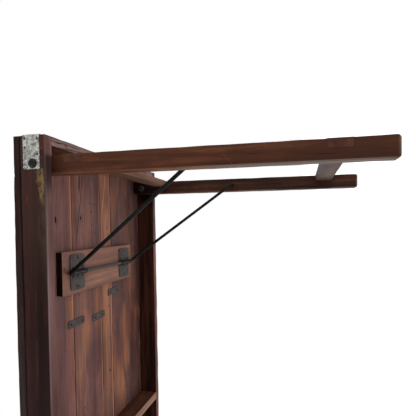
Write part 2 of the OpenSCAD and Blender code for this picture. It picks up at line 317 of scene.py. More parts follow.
def wear_arrises(bm, along, low, high, reach, depth, seed):
    """Rubs the long edges away by an amount that changes along the piece, with a few deep knocks."""
    cross = [axis for axis in range(3) if axis != along]
    for vert in bm.verts:
        spare = [min(vert.co[a] - low[a], high[a] - vert.co[a]) for a in cross]
        if max(spare) > reach:
            continue
        place = Vector(vert.co) * 9 + Vector((seed, seed * 0.7, seed * 1.3))
        place[along] = vert.co[along] * 21 + seed
        rub = max(0.0, noise.noise(place) + 0.25) + 1.6 * max(0.0, noise.noise(place * 2.3) - 0.35)
        for a in cross:
            middle = (low[a] + high[a]) / 2
            vert.co[a] -= math.copysign(min(depth * rub, reach), vert.co[a] - middle)


def round_over(bm, edges, radius, steps, clamp=False):
    """Rounds edges in a few steps. With clamp it goes no further than the nearest edges allow."""
    bmesh.ops.bevel(bm, geom=edges, offset=radius, segments=steps, profile=0.5, affect="EDGES",
                    material=-1, clamp_overlap=clamp)


def smooth_curves(bm):
    """Shades every face smooth that isn't square to an axis."""
    bm.normal_update()
    for face in bm.faces:
        face.smooth = max(abs(n) for n in face.normal) < 0.999


def board(low, high, along, ease, wear, seed, corner=0.0, step=18 * mm):
    """A length of sawn timber with eased and worn arrises. Its ends take material 1."""
    low, high = Vector(low), Vector(high)
    bm = bmesh.new()
    bmesh.ops.create_cube(bm, size=1)
    bmesh.ops.scale(bm, vec=high - low, verts=bm.verts)
    bmesh.ops.translate(bm, vec=(low + high) / 2, verts=bm.verts)
    if corner:
        upright = [e for e in bm.edges
                   if abs((e.verts[0].co - e.verts[1].co).normalized().z) > 0.9]
        round_over(bm, upright, corner, 4)
    bm.normal_update()
    sharp = [e for e in bm.edges if e.calc_face_angle(0) > math.radians(50)]
    round_over(bm, sharp, ease, 3, clamp=True)
    smooth_curves(bm)
    for face in bm.faces:
        face.material_index = 1 if abs(face.normal[along]) > 0.7 else 0
    rings(bm, along, low[along], high[along], step)
    wear_arrises(bm, along, low, high, ease * 1.3, wear, seed)
    bm.normal_update()
    return bm


TOP_DARK = (0.049, 0.025, 0.024)
TOP_MIDDLE = (0.118, 0.057, 0.053)
TOP_LIGHT = (0.178, 0.086, 0.073)
TOP_WARM = (0.36, 0.145, 0.062)
TOP_TONES = [
    [TOP_DARK, TOP_MIDDLE, TOP_LIGHT],
    [TOP_DARK, TOP_MIDDLE, TOP_LIGHT],
    [(0.066, 0.032, 0.025), (0.158, 0.072, 0.051), (0.245, 0.114, 0.069)],
    [(0.032, 0.017, 0.016), (0.080, 0.038, 0.034), (0.135, 0.062, 0.048)],
]
UNDER_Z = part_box("top_plank_1")[0].z
TABLE_HALF_W = 300 * mm
# Old nail holes in each plank's underside: x, y, radius, stretch along x
HOLES = [
    [(626, -187, 2.8, 2.8), (470, -231, 1.3, 1), (300, -160, 1.2, 1),
     (433, -138, 1.3, 1), (425, -138, 1.4, 1), (404, -208, 1.3, 1), (-410, -200, 1.6, 1)],
    [(632, -81, 2.4, 2.0), (674, -36, 1.4, 1), (672, -20, 1.2, 1), (650, -29, 1.7, 1.3),
     (615, -29, 1.5, 1), (592, -39, 1.4, 1), (592, -13, 1.4, 1), (-320, -60, 2, 1.4),
     (429, -96, 1.5, 1), (122, -82, 1.8, 1)],
    [(606, 55, 1.7, 1.4), (368, 59, 2.0, 1.3), (270, 64, 1.5, 1), (170, 60, 2.7, 1.4), (107, 64, 1.8, 1)],
    [(209, 200, 1.3, 1), (74, 171, 1.5, 1), (69, 138, 1.6, 1), (67, 102, 1.4, 1), (300, 232, 1.4, 1),
     (520, 120, 1.2, 1), (-250, 190, 1.8, 1.3), (-540, 140, 1.4, 1)],
]
# Soft warm patches on each underside, as above
GLOWS = [
    [(390, -138, 5, 8)],
    [(400, -6, 9, 5), (322, -66, 12, 3), (240, -100, 10, 4)],
    [(330, 40, 10, 6), (180, 50, 8, 6)],
    [(300, 158, 16, 2.4), (184, 172, 16, 2.4), (115, 120, 18, 2.6), (688, 96, 6, 4)],
]
# Soft dark stains on each underside, as above
STAINS = [
    [(300, -250, 8, 8), (200, -200, 8, 8)],
    [(705, 6, 5, 5), (140, -40, 12, 3)],
    [(500, 65, 8, 5)],
    [(700, 200, 12, 4), (390, 150, 12, 2.4), (170, 215, 14, 4), (260, 110, 10, 4)],
]
# The sides of each plank that lie at a dry joint: y, the way into the plank,
# how orange the rubbed edge is and how dirty the joint is
JOINT_SIDES = [[(-122, -1, 0.8, 0.65)], [(-122, 1, 0.15, 0.65), (18, -1, 0.55, 0.4)],
               [(18, 1, 0.2, 0.4), (79, -1, 0.85, 0.6)], [(79, 1, 0.1, 0.6)]]
# How each plank's underside is tinted, and how much flame figure it shows
END_TINTS = [(1.12, 1.02, 0.99), (1.18, 1.06, 0.98), (1.26, 1.14, 1.02), (0.97, 0.88, 0.85)]
MIDDLE_TINTS = [(0.82, 0.72, 0.70), (0.90, 0.82, 0.83), (0.78, 0.80, 0.84), (1.16, 1.08, 1.02)]
FLAMES = [0.15, 0.8, 0.5, 1.0]
OUTER_DARK = (0.0080, 0.0036, 0.0031)
OUTER_MIDDLE = (0.0180, 0.0066, 0.0056)
# the colour of a line of painted shade along the joint between the top and a side rail
JOINT_SHADE_COLOUR = (0.003, 0.002, 0.002)
RUBBED_ORANGE = (0.37, 0.145, 0.062)


def joint_shade_line(z):
    """1 beside the joint between the top and a side rail, where a line of painted shade goes."""
    return near_line(z - UNDER_Z, 1.5, 3.0)


def plank_marks(index, place, colour, roughness, height):
    """The marks of one plank: tints and figure, rubbed joints, splits, holes and a black edge."""
    x, y, z = axes(place)
    under = rise(z, UNDER_Z + 6 * mm, UNDER_Z + 2 * mm)
    patchy = noise_at(stretched(place, [0.5, 1, 1], (index, 3, 1)), 8, 3, 0.6)
    patchy = rise(patchy, 0.40, 0.62)
    # redder toward the table's middle, with a grey-purple bloom elsewhere
    grainy = noise_at(stretched(place, [0.05, 1, 1], (index, 5, 5)), 85, 4, 0.65)
    grainy = rise(grainy, 0.36, 0.60)
    middle_part = rise(x, 0.50, 0.24) * under
    colour = tinted(under, colour, END_TINTS[index])
    colour = tinted(middle_part, colour, MIDDLE_TINTS[index])
    bloom = noise_at(stretched(place, [0.3, 1, 1], (7, index, 1)), 7, 3, 0.55)
    bloom = rise(bloom, 0.40, 0.66) * under * 0.30
    colour = blend_colour(bloom, colour, (0.120, 0.072, 0.070))
    # broad flame figure, orange-brown and dark, strongest toward the middle
    flame = noise_at(stretched(place, [0.24, 1, 1], (index * 2, 1, index)), 11, 4, 0.55, 1.1)
    strength = blend_value(middle_part, 0.3, 1.0) * blend_value(grainy, 0.35, 1.0)
    strength = strength * under * (0.7 * FLAMES[index])
    colour = blend_colour(rise(flame, 0.53, 0.68) * strength, colour, (0.26, 0.108, 0.050))
    colour = blend_colour(rise(flame, 0.45, 0.33) * strength, colour, (0.046, 0.024, 0.021))
    warm_spots = spots(x, y, GLOWS[index], 26) * blend_value(grainy, 0.3, 1.0)
    colour = blend_colour(warm_spots * under * 0.5, colour, (0.28, 0.112, 0.048))
    dark_spots = spots(x, y, STAINS[index], 22) * grainy
    colour = blend_colour(dark_spots * under * 0.6, colour, (0.034, 0.019, 0.017))
    # fine dark grain
    grain = noise_at(stretched(place, [0.03, 1, 1], (3, index, 3)), 200, 3, 0.65)
    colour = tinted(rise(grain, 0.46, 0.66) * 0.75, colour, (0.66, 0.62, 0.62))
    # rubbed, orange edges along the dry joints, and dirt in them
    for at, way, amount, dirt in JOINT_SIDES[index]:
        inside = (y - at * mm) * way
        rubbed = near_line(inside - 4.6 * mm, 1.0, 3.0) * blend_value(patchy, amount - 0.4, amount)
        if index == 0:
            # fainter away from the end
            rubbed = rubbed * blend_value(rise(x, 0.28, 0.42), 0.25, 1.0)
        colour = blend_colour(rubbed * under, colour, RUBBED_ORANGE)
        soiled = rise(inside, 2.2 * mm, 0.9 * mm) * under * dirt
        colour = blend_colour(soiled, colour, (0.014, 0.008, 0.007))
    if index == 2:
        # one slanting orange streak near the end
        streak = near_line(y - (x - 0.747) * 0.21 - 0.050, 1.2, 5.0)
        streak = streak * stretch_of(x, 0.61, 0.66, 0.75, 0.77)
        colour = blend_colour(streak * under * 0.45, colour, (0.40, 0.160, 0.065))
    # nail holes, and in one plank two splits and a long dark knot
    mask = spots(x, y, HOLES[index])
    if index == 1:
        wander = noise_at(stretched(place, [1, 1, 1], (4, 4, index)), 14, 2, 0.5) * (14 * mm)
        long_split = near_line(y - (x - 0.746) * 0.18 + wander + 0.0635, 0.5, 0.8)
        mask = mask + long_split * stretch_of(x, 0.555, 0.58, 0.735, 0.75)
        line = y - (x - 0.716) * 0.08 + wander
        short_split = near_line(line + 0.119, 0.6, 2.2)
        mask = mask + short_split * stretch_of(x, 0.545, 0.57, 0.62, 0.655) * 0.7
        knot = near_line(line + 0.0785, 1.5, 4.0) * stretch_of(x, 0.690, 0.715, 0.735, 0.755)
        colour = blend_colour(knot * under * 0.85, colour, (0.026, 0.014, 0.010))
    mask = mask * under
    mask = mask.maths("MINIMUM", mask, 1.0)
    colour = blend_colour(mask, colour, (0.006, 0.004, 0.004))
    # the table's long edges are nearly black
    edge = rise(y.maths("ABSOLUTE", y), TABLE_HALF_W - 3.2 * mm, TABLE_HALF_W - 1.5 * mm)
    tone = noise_at(stretched(place, [0.06, 1, 1], (1, index, 2)), 150, 3, 0.6)
    edge_tone = blend_colour(rise(tone, 0.35, 0.65), OUTER_DARK, OUTER_MIDDLE)
    colour = blend_colour(edge, colour, edge_tone)
    # a line of painted shade along the joint between the top and the rail
    colour = blend_colour(edge * joint_shade_line(z) * 0.7, colour, JOINT_SHADE_COLOUR)
    return colour, roughness + mask * 0.3, height - mask * 2.0


# How far the top's outer arris is worn down at each place along it, in millimetres,
# with a knock a hand's width from one end
ARRIS_WORN = [(-800, 4.0), (-700, 2.0), (20, 4.4), (200, 2.6), (350, 1.4), (550, 2.2), (713, 3.6),
              (718, 4.9), (723, 3.8), (800, 4.6)]
KNOCK = ARRIS_WORN[6:9]
ARRIS_REACH = 5 * mm


def thin_edge(bm, outer_y, top_z):
    """Wears the top's outer arris down by an amount that changes along it."""
    cut_through(bm, ALONG_Y, outer_y - math.copysign(14 * mm, outer_y))
    for x, _ in KNOCK:
        cut_through(bm, ALONG_X, x * mm)
    for vert in bm.verts:
        if abs(vert.co.y - outer_y) > ARRIS_REACH or top_z - vert.co.z > ARRIS_REACH:
            continue
        x = vert.co.x / mm
        for (x0, worn0), (x1, worn1) in zip(ARRIS_WORN, ARRIS_WORN[1:]):
            if x0 <= x <= x1:
                vert.co.z -= (worn0 + (worn1 - worn0) * (x - x0) / (x1 - x0)) * mm
                break


for index in range(4):
    node = f"top_plank_{index + 1}"
    low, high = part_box(node)
    plank = board(low, high, ALONG_X, ease=1.1 * mm, wear=0.9 * mm, seed=3.1 * index + 0.4,
                  corner=4 * mm if index in (0, 3) else 0)
    if index in (0, 3):
        thin_edge(plank, low.y if index == 0 else high.y, high.z)
    face = wood(f"plank_{index + 1}_wood", ALONG_X, TOP_TONES[index], TOP_WARM,
                shift=(0.31 * index, 0.77 * index, 0.2), warmth=0.10, streaks=0.85, gloss=0.045,
                extra=partial(plank_marks, index))
    ends = wood(f"plank_{index + 1}_end_grain", ALONG_X,
                [(0.02, 0.012, 0.011), (0.05, 0.027, 0.023), (0.09, 0.045, 0.036)],
                TOP_WARM, shift=(0.1, index, 0.3), warmth=0.1, rough=0.7, gloss=0.06, end_grain=True)
    show(f"plank_{index + 1}", plank, [face, ends], "table", "top_wood", node)


# --------------------
# The side rails: two long hardwood boards on edge under the planks, nailed up
# into the end and middle rails. Their outer faces are nearly black with age
# and handling, with old ochre paint rubbed along the near one's lower edge.
# --------------------
SIDES = (("left", -1), ("right", 1))
RAIL_TONES = [OUTER_DARK, OUTER_MIDDLE, (0.033, 0.0128, 0.0102)]
RAIL_ENDS = [(0.012, 0.008, 0.007), (0.03, 0.017, 0.015), (0.05, 0.03, 0.025)]
RAIL_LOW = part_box("side_rail_left")[0].z
# Painted shade round the legs' heads on the inner faces: x, z, radius, stretch along x
HEAD_SHADE_SPOTS = [(741, 710, 44, 1), (-741, 710, 44, 1)]
RED_STAINS = [(776, 691, 7, 3.0), (669, 731, 1.5, 2.2)]
PALE_CHIPS = [(299, 745, 1.6, 1.8)]
OCHRE_FROM = 0.729


def low_edge_of(z):
    """1 on the lower edges of the rails."""
    return rise(z, RAIL_LOW + 3.4 * mm, RAIL_LOW + 0.8 * mm)


def rail_marks(side, place, colour, roughness, height):
    """A rail's marks: side is -1 for the left rail, which has the paint and stains, and 1 for the right."""
    x, y, z = axes(place)
    reach = y.maths("ABSOLUTE", y)
    outer = rise(reach, TABLE_HALF_W - 2.5 * mm, TABLE_HALF_W - 1 * mm)
    inner = rise(reach, TABLE_HALF_W - 20 * mm, TABLE_HALF_W - 21.4 * mm)
    fine = noise_at(place, 260, 4, 0.75)
    # the inner faces are dark red wood darkened with painted shade, and darker still round the legs' heads
    # with more painted shade
    red = noise_at(stretched(place, [0.07, 1, 1], (2, side, 5)), 60, 4, 0.6)
    red_wood_and_shade = blend_colour(rise(red, 0.36, 0.64), (0.0090, 0.0036, 0.0028), (0.036, 0.0110, 0.0068))
    colour = blend_colour(inner, colour, red_wood_and_shade)
    # painted shade round the legs' heads
    head_shade = spots(x, z, HEAD_SHADE_SPOTS, 44) * inner
    colour = tinted(head_shade, colour, (0.22, 0.22, 0.22))
    # the lower edge is rubbed paler, grey-mauve to pink, and mossy in places, with a painted highlight along
    # its outer arris
    low_edge = low_edge_of(z)
    tint = noise_at(stretched(place, [0.12, 1, 1], (1, side, 2)), 26, 4, 0.6)
    edge = blend_colour(rise(tint, 0.36, 0.66), (0.074, 0.037, 0.034), (0.142, 0.074, 0.068))
    pink = rise(reach, 0.288, 0.280) * rise(tint, 0.42, 0.58) * rise(x, 0.70, 0.77) * 0.6
    edge = blend_colour(pink, edge, (0.21, 0.095, 0.078))
    # a painted highlight along the outer arris
    arris = rise(reach, TABLE_HALF_W - 4.5 * mm, TABLE_HALF_W - 1.5 * mm) * rise(tint, 0.30, 0.55)
    edge = blend_colour(arris * 0.7, edge, (0.150, 0.112, 0.124))
    edge = tinted(rise(x, 0.50, 0.30), edge, (0.72, 0.62, 0.60))
    moss = rise(fine + tint * 0.4, 0.72, 0.90) * 0.16
    edge = blend_colour(moss, edge, (0.085, 0.080, 0.050))
    shade = stretch_of(x, 0.665, 0.712, 0.752, 0.766)
    edge = blend_colour(shade * 0.8, edge, (0.016, 0.010, 0.010))
    if side > 0:
        dulled = blend_colour(rise(x, 0.50, 0.62), (1.05, 0.82, 0.76), (0.50, 0.42, 0.41))
        edge = tinted(1.0, edge, dulled)
    colour = blend_colour(low_edge, colour, edge)
    roughness = blend_value(low_edge, roughness, 0.45)
    # a line of painted shade along the joint between the rail and the top
    colour = blend_colour(outer * joint_shade_line(z) * 0.7, colour, JOINT_SHADE_COLOUR)
    if side < 0:
        # a little paler and browner near the end, with olive-brown patches
        handled = rise(x, 0.40, 0.66) * outer
        colour = blend_colour(handled * 0.35, colour, (0.044, 0.022, 0.018))
        olive = noise_at(stretched(place, [0.3, 1, 1], (9, 2, 2)), 30, 4, 0.65)
        olive = rise(olive, 0.42, 0.62) * handled * rise(z, 0.730, 0.700) * 0.55
        colour = blend_colour(olive, colour, (0.040, 0.028, 0.019))
        # rubbed ochre paint that narrows away from the strap
        clumps = noise_at(place, 75, 2, 0.5)
        slope = z - (x - OCHRE_FROM) * 0.14 + (clumps - 0.5) * 0.020
        band = rise(slope, 0.7190, 0.7010) * rise(z, 0.6850, 0.6905)
        band = band * stretch_of(x, 0.590, 0.690, OCHRE_FROM, OCHRE_FROM + 4 * mm)
        dry = noise_at(stretched(place, [0.25, 1, 1], (2, 0, 6)), 150, 4, 0.7)
        paint = rise(fine * 0.5 + dry * 0.6 + band * 0.26, 0.66, 1.00) * band * outer
        colour = blend_colour(paint * 0.70, colour, (0.215, 0.140, 0.060))
        # its last flecks, red stains and a pale chip
        tail = rise(z, 0.694, 0.687) * rise(x, 0.25, 0.60)
        flecks = rise(fine + tail * 0.3, 0.70, 0.95) * tail * outer
        colour = blend_colour(flecks * 0.18, colour, (0.070, 0.058, 0.034))
        ragged = rise(clumps, 0.38, 0.60)
        stain = spots(x, z, RED_STAINS, 7) * ragged * outer
        colour = blend_colour(stain * 0.62, colour, (0.100, 0.022, 0.012))
        pale = spots(x, z, PALE_CHIPS, 1.5) * outer
        colour = blend_colour(pale * 0.5, colour, (0.20, 0.17, 0.12))
        height = height + paint * 0.4
        roughness = roughness + paint * 0.2
    return colour, roughness, height


for side_name, side in SIDES:
    node = f"side_rail_{side_name}"
    low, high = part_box(node)
    rail = board(low, high, ALONG_X, ease=1.6 * mm, wear=1.0 * mm, seed=11.3 + 5 * side, corner=2 * mm)
    face = wood(f"side_rail_{side_name}_wood", ALONG_X, RAIL_TONES, (0.060, 0.020, 0.013),
                shift=(0.4, side * 1.3, 0.1), warmth=0.3, rough=0.6, gloss=0.026, streaks=0.8,
                extra=partial(rail_marks, side))
    ends = wood(f"side_rail_{side_name}_end_grain", ALONG_X, RAIL_ENDS, TOP_WARM,
                shift=(0.1, side, 0.8), warmth=0.1, rough=0.75, gloss=0.05, end_grain=True)
    show(f"rail_{side_name}", rail, [face, ends], "table", "rail_wood", node)


# --------------------
# The end rails and the middle rail: shorter boards between the side rails.
# The lower edges of the end rails are weathered pink-brown with black cracks
# that run along the grain.
# --------------------
def cracked_edge(end, place, colour, roughness, height):
    """A weathered lower edge with cracks and pits."""
    low_edge = low_edge_of(axes(place)[2])
    tint = noise_at(stretched(place, [1, 0.1, 1], (end, 2, 2)), 40, 4, 0.6)
    edge = blend_colour(rise(tint, 0.36, 0.64), (0.088, 0.050, 0.045), (0.180, 0.108, 0.098))
    colour = blend_colour(low_edge, colour, edge)
    cracks = noise_at(stretched(place, [1, 0.07, 1], (end * 3, 5, 1)), 150, 2, 0.5, 0.4)
    where = noise_at(stretched(place, [1, 0.5, 1], (2, end, 6)), 12, 2)
    mask = rise(cracks, 0.555, 0.62) * rise(where, 0.40, 0.52)
    pits = noise_at(stretched(place, [1, 0.4, 1], (4, end, 2)), 170, 2, 0.6)
    mask = mask.maths("MAXIMUM", mask, rise(pits, 0.63, 0.70) * 0.8)
    colour = blend_colour(mask * low_edge * 0.9, colour, (0.010, 0.008, 0.008))
    return colour, roughness + low_edge * 0.1, height - mask * 1.5


ENDS = (("a", 1), ("b", -1))
INNER_TONES = [(0.020, 0.009, 0.008), (0.048, 0.019, 0.014), (0.085, 0.034, 0.022)]
for end_name, end in ENDS:
    node = f"end_rail_{end_name}"
    low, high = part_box(node)
    rail = board(low, high, ALONG_Y, ease=1.5 * mm, wear=1.0 * mm, seed=21.7 + 4 * end)
    face = wood(f"end_rail_{end_name}_wood", ALONG_Y, INNER_TONES, (0.20, 0.07, 0.03),
                shift=(1.1 * end, 0.2, 0.6), warmth=0.35, rough=0.55, gloss=0.1,
                extra=partial(cracked_edge, end))
    show(f"cross_rail_{end_name}", rail, [face, face], "table", "rail_wood", node)

MIDDLE_TONES = [(0.032, 0.012, 0.008), (0.070, 0.025, 0.015), (0.120, 0.046, 0.027)]


def rubbed_edge(place, colour, roughness, height):
    """A lower edge that knees and hands have rubbed to a paler brown."""
    low_edge = low_edge_of(axes(place)[2])
    tint = noise_at(stretched(place, [1, 0.1, 1], (8, 2, 2)), 46, 4, 0.6)
    edge = blend_colour(rise(tint, 0.36, 0.64), (0.120, 0.055, 0.036), (0.205, 0.106, 0.070))
    return blend_colour(low_edge, colour, edge), roughness, height


low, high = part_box("middle_rail")
rail = board(low, high, ALONG_Y, ease=1.5 * mm, wear=0.8 * mm, seed=40.2)
middle_wood = wood("middle_rail_wood", ALONG_Y, MIDDLE_TONES, (0.20, 0.060, 0.026),
                   shift=(3, 1, 2), warmth=0.4, gloss=0.06, extra=rubbed_edge)
show("cross_rail_middle", rail, [middle_wood, middle_wood], "table", "rail_wood", "middle_rail")


# --------------------
# The brace boards: a short board screwed to the underside at each end, with
# its grain across the table. They carry the bearings of the brace. Their end
# grain is painted nearly black, dark wood with painted shade over it.
# --------------------
BOARD_TONES = [(0.098, 0.040, 0.027), (0.198, 0.085, 0.056), (0.285, 0.128, 0.080)]
# the near-black end grain is dark wood with painted shade over it
BOARD_END_TONES_AND_SHADE = [(0.004, 0.003, 0.002), (0.008, 0.005, 0.004), (0.014, 0.008, 0.006)]
BOARD_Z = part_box("brace_board_a")[0].z
# Places on the boards' faces, first for the painted shadow of the brace's bend and then for dirt: x from the
# table's middle, y, radius, stretch along x
ROD_BEND_SHADOW = [(509, -181, 2.2, 1), (504, -179, 2.2, 1), (499, -175, 2.2, 1), (495, -169, 2.2, 1),
        (492, -162, 2.2, 1)]
SOILED = [(495, -128, 40, 1.1), (495, 128, 40, 1.1)]


def board_marks(place, colour, roughness, height):
    """Dirt round the bearings, and a curved painted shadow that the brace's bend casts on the board."""
    x, y, z = axes(place)
    x = x.maths("ABSOLUTE", x)
    under = rise(z, BOARD_Z + 2 * mm, BOARD_Z + 0.5 * mm)
    # the painted shadow of the brace's bend
    rod_shadow = spots(x, y, ROD_BEND_SHADOW, 3.0)
    rod_shadow = rod_shadow.maths("MINIMUM", rod_shadow, 1.0)
    colour = blend_colour(rod_shadow * under * 0.9, colour, (0.040, 0.018, 0.012))
    dirt = spots(x, y, SOILED, 14) * under
    return blend_colour(dirt * 0.35, colour, (0.06, 0.028, 0.020)), roughness, height


for end_name, end in ENDS:
    node = f"brace_board_{end_name}"
    low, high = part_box(node)
    pad = board(low, high, ALONG_Y, ease=1.4 * mm, wear=0.7 * mm, seed=51.2 + 3 * end, corner=5 * mm)
    face = wood(f"brace_board_{end_name}_wood", ALONG_Y, BOARD_TONES, (0.34, 0.145, 0.07),
                shift=(0.6 * end, 2.2, 0.9), warmth=0.3, rough=0.47, streaks=0.7, extra=board_marks)
    # end grain painted near-black: dark wood with painted shade
    ends = wood(f"brace_board_{end_name}_end_grain", ALONG_Y, BOARD_END_TONES_AND_SHADE, (0.03, 0.01, 0.006),
                shift=(0.1, end, 0.3), warmth=0.1, rough=0.85, gloss=0.02, end_grain=True)
    show(f"brace_pad_{end_name}", pad, [face, ends], "table", "board_wood", node)


# --------------------
# The legs: varnished hardwood, notched in the outer edge for the stretchers,
# rounded at the head so that they fold, and knocked round at the foot. The
# varnish has worn off along the arrises.
# --------------------
# the far legs (1) take darker copies of the near legs' (-1) colours, as painted shade on their faces toward
# the table's middle
LEG_TONES_LIT_AND_SHADED = {
    -1: [(0.022, 0.0074, 0.0042), (0.043, 0.0136, 0.0066), (0.067, 0.0220, 0.0105)],
    1: [(0.012, 0.0046, 0.0030), (0.024, 0.0085, 0.0050), (0.037, 0.0135, 0.0078)],
}
LEG_WARM = (0.15, 0.052, 0.019)
HEAD_R = 30 * mm
HOOK_Z = 392 * mm
BORE_REACH = 7 * mm
NOTCH_IN = 3 * mm
NOTCHES = [corner.z for level in ("lower", "upper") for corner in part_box(f"{level}_stretcher_a")]
# The side of the legs toward the table's middle, and one long scratch down a leg
LEG_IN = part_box("leg_a_left")[0].x + 2.5 * mm
SCRATCH_X, SCRATCH_Z = 0.7358, 0.3096


def merged_copy(node):
    """A CAD node's own solid, with its triangles joined into clean faces."""
    bm = bmesh.new()
    bm.from_mesh(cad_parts[node].data)
    bmesh.ops.remove_doubles(bm, verts=bm.verts, dist=1e-6)
    bmesh.ops.dissolve_limit(bm, angle_limit=math.radians(0.5), verts=bm.verts, edges=bm.edges)
    bm.normal_update()
    return bm


def leg_marks(end, side, place, colour, roughness, height):
    """Varnish worn off along the arrises and at the foot, and a scratch that shows pale on one leg."""
    x, _, z = axes(place)
    outward = x * end
    rub = noise_at(stretched(place, [1, 1, 0.15], (end, side, 3)), 60, 3, 0.6)
    # worn grey toward the foot, and orange nearer the head
    arris = rise(outward, LEG_IN + 1.2 * mm, LEG_IN - 0.6 * mm)
    worn = arris * rise(rub, 0.30, 0.52) * blend_value(rise(z, 0.56, 0.36), 0.22, 0.8)
    worn_tone = blend_colour(rise(z, 0.50, 0.25), (0.17, 0.062, 0.026), (0.110, 0.082, 0.066))
    colour = blend_colour(worn, colour, worn_tone)
    # painted shade on the far legs toward their heads, under the rail
    if side > 0:
        colour = tinted(rise(z, 0.600, 0.690), colour, (0.36, 0.36, 0.38))
    foot = rise(z, 6 * mm, 0.5 * mm) * rise(rub, 0.4, 0.6)
    colour = blend_colour(foot * 0.7, colour, (0.13, 0.09, 0.065))
    scratch = near_line((z - SCRATCH_Z) - (outward - SCRATCH_X) * 0.9, 0.2, 0.7)
    scratch = scratch * stretch_of(outward, LEG_IN, LEG_IN + 2.5 * mm, LEG_IN + 23 * mm, LEG_IN + 25 * mm)
    if (end, side) == (1, -1):
        colour = blend_colour(scratch * 0.28, colour, (0.15, 0.075, 0.038))
    return colour, roughness + worn * 0.15, height - scratch * 0.2


def worn_edge(edge, pivot_x, pivot_z, notch_x):
    """True for a leg's outer edges, and False round its bores and in its notches."""
    if not edge.is_convex or edge.calc_face_angle(0) < math.radians(50):
        return False
    a, b = (v.co for v in edge.verts)
    for v in (a, b):
        if math.hypot(v.x - pivot_x, v.z - pivot_z) < BORE_REACH:
            return False
        if math.hypot(v.x - pivot_x, v.z - HOOK_Z) < BORE_REACH:
            return False
        if abs(v.x - notch_x) < 0.1 * mm:
            return False
    level = abs(a.z - b.z) < 0.1 * mm
    return not (level and min(abs(a.z - z) for z in NOTCHES) < 0.1 * mm)


for end_name, end in ENDS:
    for side_name, side in SIDES:
        node = f"leg_{end_name}_{side_name}"
        low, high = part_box(node)
        leg = merged_copy(node)
        pivot_x = (low.x + high.x) / 2
        edges = [e for e in leg.edges if worn_edge(e, pivot_x, high.z - HEAD_R, pivot_x + end * NOTCH_IN)]
        round_over(leg, edges, 1.8 * mm, 3, clamp=True)
        smooth_curves(leg)
        rings(leg, ALONG_Z, low.z + 20 * mm, high.z - 45 * mm, 16 * mm)
        wear_arrises(leg, ALONG_Z, low, high, reach=2.2 * mm, depth=0.8 * mm, seed=60 + 7 * end + 3 * side)
        leg.normal_update()
        face = wood(f"{node}_wood", ALONG_Z, LEG_TONES_LIT_AND_SHADED[side], LEG_WARM, shift=(end, side * 0.6, 0.3),
                    warmth=0.22, rough=0.46, gloss=0.07, contrast=0.7, streaks=1.1,
                    extra=partial(leg_marks, end, side))
        show(f"post_{end_name}_{side_name}", leg, [face], f"leg_frame_{end_name}", "leg_wood", node)


# --------------------
# The stretchers: two flat rails let into the legs' notches and nailed, so
# that their end grain shows flush in the legs' outer faces.
# --------------------
STRETCHER_TONES = {
    "upper": [(0.060, 0.027, 0.017), (0.120, 0.054, 0.032), (0.175, 0.084, 0.052)],
    "lower": [(0.034, 0.015, 0.0085), (0.062, 0.029, 0.016), (0.094, 0.046, 0.026)],
}
STRETCHER_ENDS = [(0.024, 0.0090, 0.0055), (0.046, 0.0160, 0.0085), (0.068, 0.0255, 0.0135)]
for end_name, end in ENDS:
    for level in ("upper", "lower"):
        node = f"{level}_stretcher_{end_name}"
        low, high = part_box(node)
        seed = 80 + 3 * end + (5 if level == "upper" else 0)
        bar = board(low, high, ALONG_Y, ease=0.6 * mm, wear=0.3 * mm, seed=seed)
        face = wood(f"{node}_wood", ALONG_Y, STRETCHER_TONES[level], (0.22, 0.095, 0.042),
                    shift=(end, 0.4, 2.0 if level == "upper" else 3.0), warmth=0.18, rough=0.5, gloss=0.06)
        ends = wood(f"{node}_end_grain", ALONG_Y, STRETCHER_ENDS, LEG_WARM,
                    shift=(0.2, end, 0.5), warmth=0.15, rough=0.6, gloss=0.1, end_grain=True)
        show(f"{level}_rung_{end_name}", bar, [face, ends], f"leg_frame_{end_name}", "leg_wood", node)


# --------------------
# Nails and screws: rusted round nail heads in the top, the rails and the
# stretchers, and dull slotted screws, turned from wire and driven into boards
# and plates at every angle. The boards' own screws are stopped with brown wax.
# --------------------
def metal(name, dark, light, rust, rusty=0.3, rough=0.5, metallic=0.7, scale=1.0, gloss=0.5):
    """Old steel that goes from dark to light in patches, with specks of rust."""
    def painter(place):
        patches = noise_at(place, 120 * scale, 4, 0.6)
        specks = noise_at(place, 620 * scale, 3, 0.6)
        colour = blend_colour(rise(patches, 0.35, 0.65), dark, light)
        rusted = rise(specks + patches * 0.5, 0.92 - rusty * 0.3, 1.05 - rusty * 0.2)
        colour = blend_colour(rusted * 0.8, colour, rust)
        roughness = rusted * 0.3 + patches * 0.2 + (rough - 0.1)
        return colour, roughness, metallic - rusted * metallic * 0.8, specks * 0.5 + patches, 0.15 * mm, gloss

    return finish_material(name, painter)


def solids_of(node):
    """The box of each separate solid of a CAD node, as its low and high corners."""
    bm = merged_copy(node)
    waiting, boxes = set(bm.verts), []
    while waiting:
        reached = [waiting.pop()]
        low, high = Vector(reached[0].co), Vector(reached[0].co)
        while reached:
            vert = reached.pop()
            low = Vector([min(a, b) for a, b in zip(low, vert.co)])
            high = Vector([max(a, b) for a, b in zip(high, vert.co)])
            for edge in vert.link_edges:
                other = edge.other_vert(vert)
                if other in waiting:
                    waiting.remove(other)
                    reached.append(other)
        boxes.append((low, high))
    bm.free()
    return sorted(boxes, key=lambda box: [round(c, 5) for c in (box[0] + box[1])])


